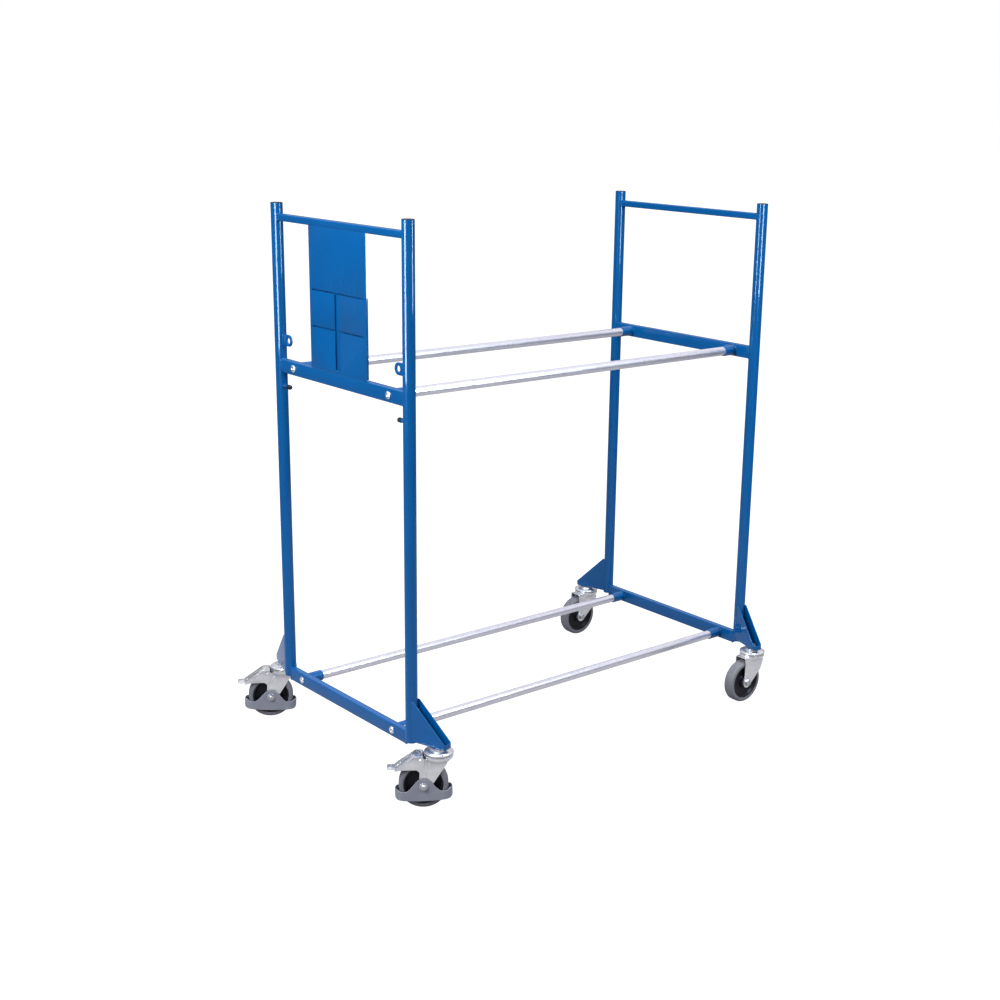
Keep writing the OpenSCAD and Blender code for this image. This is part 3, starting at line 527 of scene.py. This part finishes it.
for s in (-1, 1):
    near, far = sorted((s * half_w, s * (half_w - sheet)))
    sheets.append(bar((front_x + sheet / 2, near, foot_z), (back_x - 0.1 * mm, far, shelf_z),
                      0.3 * mm, 2, 1))
painted("holder_back", joined(sheets), ["document_back"])


# Two flat lugs with a large hole stand on the inner sides of the left posts, above the middle
# rail, and take the hooks of a tyre strap. They are cut from plate and welded to the posts.
def bend(centre, radius, start, end, steps=4):
    """Points along a bend, from one angle to another, in degrees."""
    turns = [radians(start + (end - start) * k / steps) for k in range(steps + 1)]
    return [(centre[0] + radius * cos(a), centre[1] + radius * sin(a)) for a in turns]


low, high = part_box("strap_lugs")
lug_z = (low.z + high.z) / 2
lug_r = (high.z - low.z) / 2
lug_reach, lug_half_t, hole_r = 47 * mm, 2.5 * mm, 9 * mm
root = post_r - 1.5 * mm
outline = [(root, -lug_r)] + bend((lug_reach, 0), lug_r, -90, 90, 24) + [(root, lug_r)]
hole = bend((lug_reach, 0), hole_r, 360, 11.25, 31)
lug = plate(outline, -lug_half_t, lug_half_t, [hole], 0.7 * mm)
seam_x, seam_y = sqrt(post_r ** 2 - lug_half_t ** 2) + 0.3 * mm, 3.1 * mm
seams = joined([bead([Vector((seam_x, s * seam_y, z * mm)) for z in range(-15, 16, 2)], radius=1.7 * mm)
                for s in (-1, 1)])
for depth, far_side in (("near", -1), ("far", 1)):
    place = at_post("left_" + depth, lug_z) @ Matrix.Rotation(-far_side * pi / 2, 4, "Z")
    painted("strap_lug_" + depth, lug, ["strap_lugs"], place)
    painted("strap_lug_welds_" + depth, seams, place=place, crease=60)


# A round peg stands below each lug, under the middle rail, for the strap's free end. Each is a
# stub of bar welded to the post, with a black cap pushed over its tip.
low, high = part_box("strap_pegs")
cap_low, cap_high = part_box("peg_caps")
peg_z = (low.z + high.z) / 2
peg_r = (high.z - low.z) / 2
cap_r = (cap_high.z - cap_low.z) / 2
peg_reach, cap_l = 47 * mm, 14 * mm
root, tip = post_r - post_wall, peg_reach + (cap_r - peg_r)
peg = turned([(0, root), (peg_r, root), (peg_r, peg_reach), (0, peg_reach)], steps=32)
cap = turned([(0, tip), (cap_r - 2.2 * mm, tip), (cap_r - 0.8 * mm, tip - 0.7 * mm),
              (cap_r, tip - 2.2 * mm), (cap_r, tip - cap_l + 0.6 * mm), (cap_r - 0.6 * mm, tip - cap_l),
              (peg_r, tip - cap_l), (peg_r, peg_reach), (0, peg_reach)], steps=32)
weld = bead(ring_path(peg_r + 0.4 * mm, post_r - 0.2 * mm, 18), radius=1.6 * mm, closed=True)
for depth, far_side in (("near", -1), ("far", 1)):
    place = at_post("left_" + depth, peg_z) @ Matrix.Rotation(-far_side * pi / 2, 4, "Z") @ sideways
    painted("strap_peg_" + depth, peg, ["strap_pegs"], place)
    finished("peg_tip_" + depth, cap, "frame", black_plastic, ["peg_caps"], place)
    painted("peg_weld_" + depth, weld, place=place, crease=60)


# A bracket folded from 3 mm sheet stands out from the foot of each post. It is an open channel
# with a sloping top and a rounded outer end, and the castor is bolted up against its base.
def thickened(piece, thickness, offset=0):
    """A thin surface becomes sheet, to both sides of it alike or, with offset -1, to its back."""
    sheet = piece.modifiers.new("sheet", "SOLIDIFY")
    sheet.thickness = thickness
    sheet.offset = offset


def softened(piece, width, segments=2):
    """The sharp edges of a sheet are rounded a little."""
    edge = piece.modifiers.new("soft_edge", "BEVEL")
    edge.width = width
    edge.segments = segments
    return edge


joints = {joint["name"]: Vector(joint["pos_m"]) for joint in frame["joints"]}
channel_w, channel_t, channel_l, channel_h = 32 * mm, 3 * mm, 128 * mm, 122 * mm
end_h, end_r, fold = 15 * mm, 4.5 * mm, 3 * mm
half = channel_w / 2 - channel_t / 2
reach, run = channel_l - channel_t / 2, channel_l - post_r
start = sqrt(post_r ** 2 - half ** 2)
plan = ([(start, -half)] + bend((reach - end_r, -half + end_r), end_r, -90, 0, 6)
        + bend((reach - end_r, half - end_r), end_r, 0, 90, 6) + [(start, half)])
plan += [(sqrt(max(0, post_r ** 2 - (half * share) ** 2)), half * share) for share in (0.7, 0.3, -0.3, -0.7)]
channel = bmesh.new()
base = channel.faces.new([channel.verts.new((x, y, channel_t / 2)) for x, y in plan])
wall_edges = [e for e in base.edges if max(v.co.x for v in e.verts) > post_r]
wall_top = pulled_out(channel, wall_edges)[0]
bmesh.ops.translate(channel, vec=(0, 0, channel_h - channel_t / 2), verts=wall_top)
bmesh.ops.bisect_plane(channel, geom=channel.verts[:] + channel.edges[:] + channel.faces[:],
                       plane_co=(channel_l, 0, end_h), plane_no=(channel_h - end_h, 0, run),
                       clear_outer=True)
bends = [e for e in channel.edges if len(e.link_faces) == 2 and e.calc_face_angle() > radians(60)]
bmesh.ops.bevel(channel, geom=bends, offset=fold, offset_type="OFFSET", segments=4, profile=0.5,
                affect="EDGES", clamp_overlap=True, material=-1)
bmesh.ops.recalc_face_normals(channel, faces=channel.faces)
seam_x, seam_y = 9 * mm, 15.3 * mm
seams = joined([bead([Vector((seam_x, s * seam_y, z * mm)) for z in range(3, 121, 3)], radius=1.3 * mm,
                     ripple=0.08) for s in (-1, 1)])
for corner in corners:
    post, swivel = middle("post_" + corner), joints["swivel_" + corner]
    base_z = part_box("castor_bracket_" + corner)[0].z
    outward = atan2(swivel.y - post.y, swivel.x - post.x)
    place = at_post(corner, base_z) @ Matrix.Rotation(outward, 4, "Z")
    bracket = painted("castor_channel_" + corner, channel, ["castor_bracket_" + corner], place)
    thickened(bracket, channel_t)
    softened(bracket, 0.5 * mm)
    painted("castor_channel_welds_" + corner, seams, place=place, crease=60)


# Each castor hangs from a swivel head: a bright zinc race plate with a rounded rim, and a boss
# under the bracket, riveted round a hollow king pin that one bolt passes through.
def castor_place(corner):
    """The castor's own frame: the swivel axis on Z, the wheel trailing along X."""
    swivel, hub = joints["swivel_" + corner], joints["wheel_spin_" + corner]
    turn = atan2(hub.y - swivel.y, hub.x - swivel.x)
    return Matrix.Translation((swivel.x, swivel.y, 0)) @ Matrix.Rotation(turn, 4, "Z")


def in_mm(points):
    """An outline that is given in millimetres."""
    return [(x * mm, z * mm) for x, z in points]


swivel_head = turned(in_mm([
    (6.2, 176), (20.5, 176), (21.6, 175.5), (22, 174.5), (22, 171.6), (22.7, 170.2), (24.4, 169.3),
    (30, 168.7), (35.4, 168.2), (36.4, 167.3), (37.3, 167.5), (38.4, 168), (40, 167.7), (41.3, 166.8),
    (42, 165.2), (42, 163), (41.5, 162.1), (40.4, 161.7), (10, 161.7), (10, 151), (15, 151), (15, 145.8),
    (6.2, 145.8)]), steps=96)
for corner in corners:
    plated("race_" + corner, swivel_head, "frame", ["swivel_head_" + corner], castor_place(corner))


# The fork is pressed from 3 mm sheet: a round crown under the race, shoulders that draw in to
# the wheel, and two flat legs that lean back to the axle. A plain fork is roofed over behind
# the crown; a braked one is open there and has an ear on each leg for the pedal's pin.
wheel_r, trail = 70 * mm, 43 * mm
leg_in, leg_out = 20 * mm, 23 * mm
crown_r, crown_low, crown_high = 41 * mm, 151.3 * mm, 155.3 * mm
shoulder_z = 136.3 * mm
shoulder_end, trail_u = 36 * mm, 54 * mm
mouth_u, mouth_z = 24 * mm, 143.5 * mm
leg_top, roof_u, roof_z = 137.5 * mm, 32 * mm, 155 * mm
pin_u, pin_z = 50 * mm, 148 * mm
fork_t, around = 3 * mm, 72


def shoulder_point(k, z, lead_u):
    """A point of the shoulders: round at the crown, and a rounded oblong at their foot."""
    turn = 2 * pi * k / around
    crown = Vector((crown_r * cos(turn), crown_r * sin(turn)))
    middle_u, half_u = (lead_u + shoulder_end) / 2, (shoulder_end - lead_u) / 2
    power = 6
    out = (abs(cos(turn) / half_u) ** power + abs(sin(turn) / leg_out) ** power) ** (-1 / power)
    foot = Vector((middle_u + out * cos(turn), out * sin(turn)))
    share = min(1, max(0, (z - shoulder_z) / (crown_low - shoulder_z)))
    flat = foot.lerp(crown, share)
    return Vector((flat.x, flat.y, z))


def shoulders(lead_u):
    """The crown and its shoulders, with a mouth behind for the wheel."""
    shape = bmesh.new()
    ring = bmesh.ops.create_circle(shape, segments=around, radius=crown_r)["verts"]
    edges = shape.edges[:]
    levels = [crown_high, crown_low, 148 * mm, 145 * mm, 143 * mm, 140 * mm, shoulder_z]
    for row, z in enumerate(levels):
        if row:
            ring, edges = pulled_out(shape, edges)
        above = [shoulder_point(k, levels[max(0, row - 1)], lead_u) for k in range(around)]
        for vert in ring:
            nearest = min(range(around), key=lambda k: (above[k] - vert.co).length)
            vert.co = shoulder_point(nearest, z, lead_u)
    top = [e for e in shape.edges if e.is_boundary and e.verts[0].co.z > crown_low + 1 * mm]
    bmesh.ops.contextual_create(shape, geom=top)
    mouth = []
    for face in shape.faces:
        at = face.calc_center_median()
        if at.x > mouth_u and at.z < mouth_z and abs(at.y) < leg_in - 1 * mm:
            mouth.append(face)
    bmesh.ops.delete(shape, geom=mouth, context="FACES")
    bmesh.ops.recalc_face_normals(shape, faces=shape.faces)
    return shape


def leg_outline(braked):
    """A leg seen from the side: down its front, round the axle's eye, and up its hollow back."""
    axle_eye, eye_r = (trail - 2 * mm, wheel_r - 3 * mm), 16.5 * mm
    hollow = bend((100 * mm, 96 * mm), 45.5 * mm, 200, 180, 3) + [(trail_u, 106 * mm)]
    if braked:
        front = [(-23.5 * mm, leg_top)] + bend(axle_eye, eye_r, 213, 360, 16)
        ear = bend((pin_u, pin_z), 8 * mm, -60, 165.5, 14) + [(roof_u, 150 * mm), (roof_u, leg_top)]
        return front + hollow + ear
    front = [(-33.5 * mm, leg_top)] + in_mm([(-32, 132), (-27, 118), (-20.5, 104.5), (-18, 101)])
    return front + bend(axle_eye, eye_r, 217, 360, 16) + hollow + [(trail_u, leg_top)]


def curved_sheet(line, start, end):
    """A thin surface along a line in X and Z, lying between two places along Y."""
    shape = bmesh.new()
    edges = joined_up(shape, [(x, start, z) for x, z in line], closed=False)[1]
    bmesh.ops.translate(shape, vec=(0, end - start, 0), verts=pulled_out(shape, edges)[0])
    bmesh.ops.recalc_face_normals(shape, faces=shape.faces)
    return shape


roof_half, roof_high, turn_r = (leg_in + leg_out) / 2, roof_z - fork_t / 2, 4 * mm
roof_foot = leg_top - 1 * mm
roof_line = ([(-roof_half, roof_foot)]
             + bend((turn_r - roof_half, roof_high - turn_r), turn_r, 180, 90, 5)
             + bend((roof_half - turn_r, roof_high - turn_r), turn_r, 90, 0, 5)
             + [(roof_half, roof_foot)])
roof_sheet = curved_sheet(roof_line, roof_u, trail_u)
crown_lip = in_mm([(38, 155), (41, 155), (41, 159.2), (40.6, 160), (40, 160.2), (38.7, 160.2), (38.2, 159.9),
                   (38, 159.2)])
for corner in corners:
    braked = corner.startswith("left")
    body = "fork_body_" + corner
    lead_u = -24 * mm if braked else -34 * mm
    crown = plated("fork_crown_" + corner, shoulders(lead_u), body, ["fork_" + corner], castor_place(corner),
                   crease=40)
    thickened(crown, fork_t, offset=-1)
    legs = [turned(crown_lip, steps=96)]
    for s in (-1, 1):
        legs.append(plate(leg_outline(braked), *sorted((s * leg_in, s * leg_out)), rounding=0.6 * mm))
    plated("fork_legs_" + corner, joined(legs), body, place=castor_place(corner))
    if not braked:
        roof = plated("fork_roof_" + corner, roof_sheet, body,
                      place=castor_place(corner) @ Matrix.Rotation(-pi / 2, 4, "Z"))
        thickened(roof, fork_t)
        softened(roof, 0.6 * mm)


# The axle is a zinc bolt with a washer at each end, a hexagon head on one side, and a nut on the
# other that its thread stands out of. On the braked castors the head has a domed cap, and the
# bolt also holds the foot guard, on spacers.
def hexagon(radius, low_z, high_z):
    """A hexagon head with its corners taken off at the free end."""
    shape = bmesh.new()
    bmesh.ops.create_cone(shape, cap_ends=True, segments=6, radius1=radius, radius2=radius,
                          depth=high_z - low_z)
    bmesh.ops.translate(shape, vec=(0, 0, (low_z + high_z) / 2), verts=shape.verts)
    end = [e for e in shape.edges if min(v.co.z for v in e.verts) > high_z - hair]
    bmesh.ops.bevel(shape, geom=end, offset=0.8 * mm, offset_type="OFFSET", segments=2, profile=0.5,
                    affect="EDGES", clamp_overlap=True, material=-1)
    return shape


def at_axle(corner):
    """The castor's own frame, moved to the middle of its axle."""
    return castor_place(corner) @ Matrix.Translation((trail, 0, wheel_r))


dull_zinc = zinc_plate("dull_zinc", (0.42, 0.42, 0.45), (0.56, 0.56, 0.59), smooth=0.36, rough=0.5)
lying = Matrix.Rotation(-pi / 2, 4, "X")
guard_half_w = 28.5 * mm
bolt_r, washer_r, washer_t = 6 * mm, 12 * mm, 2 * mm
for corner in corners:
    braked = corner.startswith("left")
    grip = guard_half_w if braked else leg_out
    seat = grip + washer_t
    hardware = []
    for s in (-1, 1):
        parts = [turned([(bolt_r + 0.1 * mm, grip), (washer_r, grip), (washer_r, seat - 0.3 * mm),
                         (washer_r - 0.3 * mm, seat), (bolt_r + 0.1 * mm, seat)], steps=40)]
        if s > 0 and braked:
            parts.append(hexagon(10.4 * mm, seat, seat + 4.4 * mm))
            dome = [(0, 8), (2.6, 7.7), (5.2, 6.7), (7, 5), (7.3, 4), (0, 4)]
            parts.append(turned([(radius, seat + z) for radius, z in in_mm(dome)], steps=32))
        else:
            parts.append(hexagon(10.9 * mm, seat, seat + (8 if s > 0 else 9) * mm))
        if s < 0:
            bolt_end = [(0, 7), (5.9, 7), (5.9, 10.5), (5.3, 11), (0, 11)]
            parts.append(turned([(radius, seat + z) for radius, z in in_mm(bolt_end)], steps=32))
        for part in parts:
            if s < 0:
                bmesh.ops.rotate(part, verts=part.verts, cent=(0, 0, 0), matrix=Matrix.Rotation(pi, 3, "X"))
            hardware.append(part)
    hardware.append(turned([(0, -grip), (bolt_r, -grip), (bolt_r, grip), (0, grip)], steps=32))
    finished("axle_bolt_" + corner, joined(hardware), "fork_body_" + corner, dull_zinc,
             ["axle_" + corner], at_axle(corner) @ lying)


# The wheel is a black glossy moulded centre with a thick grey rubber tyre moulded on to it, with
# a flat tread and rounded shoulders. Two ball bearings sit in the centre.
rubber = moulded("grey_rubber", (0.145, 0.147, 0.17), 0.62, grain=700.0, depth=0.12 * mm)
gloss_black = moulded("gloss_black", (0.007, 0.007, 0.012), 0.42, grain=300.0, depth=0.02 * mm, glint=0.2)
half_wheel, tread_round, rim_r = 18.5 * mm, 9 * mm, 56 * mm


def mirrored_outline(points):
    """An outline with its far half added, mirrored across the wheel's middle plane."""
    return points + [(radius, -z) for radius, z in reversed(points)]


tread = ([(rim_r, -half_wheel + 1.2 * mm), (rim_r + 0.7 * mm, -half_wheel + 0.3 * mm),
          (rim_r + 1.6 * mm, -half_wheel)]
         + bend((wheel_r - tread_round, -half_wheel + tread_round), tread_round, -90, -4, 8))
tyre = turned(mirrored_outline(tread), steps=128)
centre = turned(mirrored_outline(in_mm([
    (16.1, 9), (16.1, 17.6), (16.6, 18.2), (20.2, 18.2), (21.2, 17.4), (22.4, 10), (24, 8.2), (30, 7.2),
    (40, 7.2), (46.5, 8.4), (48.6, 10.5), (50.4, 15.6), (51.6, 16.6), (54.4, 16.8), (55.4, 16.2),
    (55.9, 15)])), steps=128)
for corner in corners:
    place = at_axle(corner) @ lying
    body = "wheel_body_" + corner
    finished("tread_" + corner, tyre, body, rubber, ["tyre_" + corner], place)
    finished("wheel_centre_" + corner, centre, body, gloss_black, ["hub_" + corner], place)
    dress("wheel_bearings_" + corner, bright_zinc)


# The two braked castors have a foot guard: a band of grey moulded plastic that runs right round
# the wheel just above the floor, and rises on both sides to the axle, on which it hangs askew.
grey_plastic = moulded("grey_plastic", (0.195, 0.205, 0.25), 0.55, grain=420.0, depth=0.25 * mm)
guard_half_l, guard_t = 81 * mm, 3 * mm


def eased(table, u):
    """A smooth curve through a table of (distance, height), in millimetres."""
    u = abs(u) / mm
    for (u0, z0), (u1, z1) in zip(table, table[1:]):
        if u <= u1:
            share = (u - u0) / (u1 - u0)
            return (z0 + (z1 - z0) * share * share * (3 - 2 * share)) * mm
    return table[-1][1] * mm


guard_top = [(0, 91), (7, 91), (53, 54), (63, 54), (76, 59), (79, 58.3), (81, 55.5)]
guard_foot = [(0, 25), (7, 25), (72, 28), (78, 30.5), (81, 37)]


def guard_band():
    """The band as a thin surface: an oval with straight sides, with its foot and top eased."""
    shape = bmesh.new()
    radius = guard_half_w - guard_t / 2
    straight = guard_half_l - guard_half_w
    half_turn, straight_steps, rows = 24, 30, 5
    loop = []
    for s in (1, -1):
        for k in range(half_turn + 1):
            a = radians(-90 + 180 * k / half_turn) + (0 if s > 0 else pi)
            loop.append((s * straight + radius * cos(a), radius * sin(a)))
        ahead = s * straight
        for k in range(1, straight_steps):
            loop.append((ahead - s * 2 * straight * k / straight_steps, s * radius))
    edges = joined_up(shape, [(x, y, eased(guard_foot, x)) for x, y in loop])[1]
    for row in range(1, rows + 1):
        ring, edges = pulled_out(shape, edges)
        for vert in ring:
            foot, top = eased(guard_foot, vert.co.x), eased(guard_top, vert.co.x)
            vert.co.z = foot + (top - foot) * row / rows
    bmesh.ops.recalc_face_normals(shape, faces=shape.faces)
    return shape


band = guard_band()
for corner, lean in (("left_near", 1.5), ("left_far", -3.5)):
    leaning = Matrix.Rotation(radians(lean), 4, "Y") @ Matrix.Translation((0, 0, -wheel_r))
    guard = finished("guard_band_" + corner, band, "fork_body_" + corner, grey_plastic,
                     ["foot_guard_" + corner], at_axle(corner) @ leaning, crease=60)
    thickened(guard, guard_t)
    rounded = softened(guard, 0.9 * mm, segments=3)
    rounded.limit_method = "ANGLE"
    rounded.angle_limit = radians(50)


# The brake pedal is folded from zinc plated sheet and turns on a pin through the fork. Its two
# flanges hang outside the legs, its top has two small holes, a slot and a notch, and a rubber
# shoe under it comes down on the tyre.
pedal_t, flange_in = 2.5 * mm, 23.4 * mm
flange_out, width = flange_in + pedal_t, flange_in + 0.6 * mm
heel_u, bend_u = 45 * mm, 63.7 * mm
knee_u, knee_z, knee_r, run, fall = 66 * mm, 159.5 * mm, 7.3 * mm, 58 * mm, 40 * mm
slope, slope_l = atan2(fall, run), hypot(run, fall)
flange = ([(heel_u, knee_z)] + bend((knee_u - 2.5 * mm, knee_z - knee_r), knee_r, 90, 56, 4)
          + in_mm([(124, 119.5), (123.6, 116), (122, 114.8), (118, 115.3), (102, 118.2), (78, 118.3)])
          + bend((66 * mm, 106.3 * mm), 12 * mm, 80, 168, 6)
          + in_mm([(52.5, 110.5), (41, 135.5), (41, 149.5)]))
shoe_rubber = moulded("shoe_rubber", (0.02, 0.02, 0.022), 0.7)


def laid(shape, place):
    """A plate laid flat, with its outline seen from above, and put in its place."""
    bmesh.ops.transform(shape, matrix=place @ lying, verts=shape.verts)
    return shape


knee = curved_sheet(bend((63.66 * mm, knee_z - 7.5 * mm), 6.25 * mm, 90, 55.4, 5), -width, width)
flat_top = oblong(heel_u, bend_u, -width, width)
rivet_holes = [bend((55 * mm, v * mm), 1.9 * mm, 360, 22.5, 15) for v in (-10, 10)]
slot = bend((30 * mm, 0), 3 * mm, 270, 90, 8) + bend((46 * mm, 0), 3 * mm, 90, -90, 8)
notch = in_mm([(56, -5), (56, 5), (64, 8), (64, -8)])
ramp = oblong(2.2 * mm, slope_l - 0.4 * mm, -width, width)
pin_r, pin_end, ease = 4 * mm, flange_out + 2 * mm, 0.6 * mm
pin = turned([(0, -pin_end), (pin_r - ease, -pin_end), (pin_r, ease - pin_end), (pin_r, pin_end - ease),
              (pin_r - ease, pin_end), (0, pin_end)], steps=32)
tab = ([(121.5 * mm, -19 * mm)] + bend((139 * mm, -13 * mm), 6 * mm, -90, 0)
       + bend((139 * mm, 13 * mm), 6 * mm, 0, 90) + [(121.5 * mm, 19 * mm)])
tilted = Matrix.Translation((knee_u, 0, knee_z)) @ Matrix.Rotation(slope, 4, "Y")
pieces = [plate(flange, *sorted((s * flange_in, s * flange_out)), rounding=1.1 * mm) for s in (-1, 1)]
pieces += [laid(plate(flat_top, 0, pedal_t, rivet_holes, 0.15 * mm), Matrix.Translation((0, 0, knee_z))),
           laid(plate(ramp, 0, pedal_t, [slot, notch], 0.15 * mm), tilted),
           laid(plate(tab, 0, pedal_t, (), 0.7 * mm), Matrix.Translation((0, 0, knee_z - fall)))]
pedal = joined(pieces)
for corner in ("left_near", "left_far"):
    body, place = "pedal_body_" + corner, castor_place(corner)
    plated("pedal_" + corner, pedal, body, ["brake_pedal_" + corner], place)
    thickened(plated("pedal_knee_" + corner, knee, body, place=place), pedal_t)
    plated("pedal_pin_" + corner, pin, body, place=place @ Matrix.Translation((pin_u, 0, pin_z)) @ lying)
    dress("brake_shoe_" + corner, shoe_rubber)
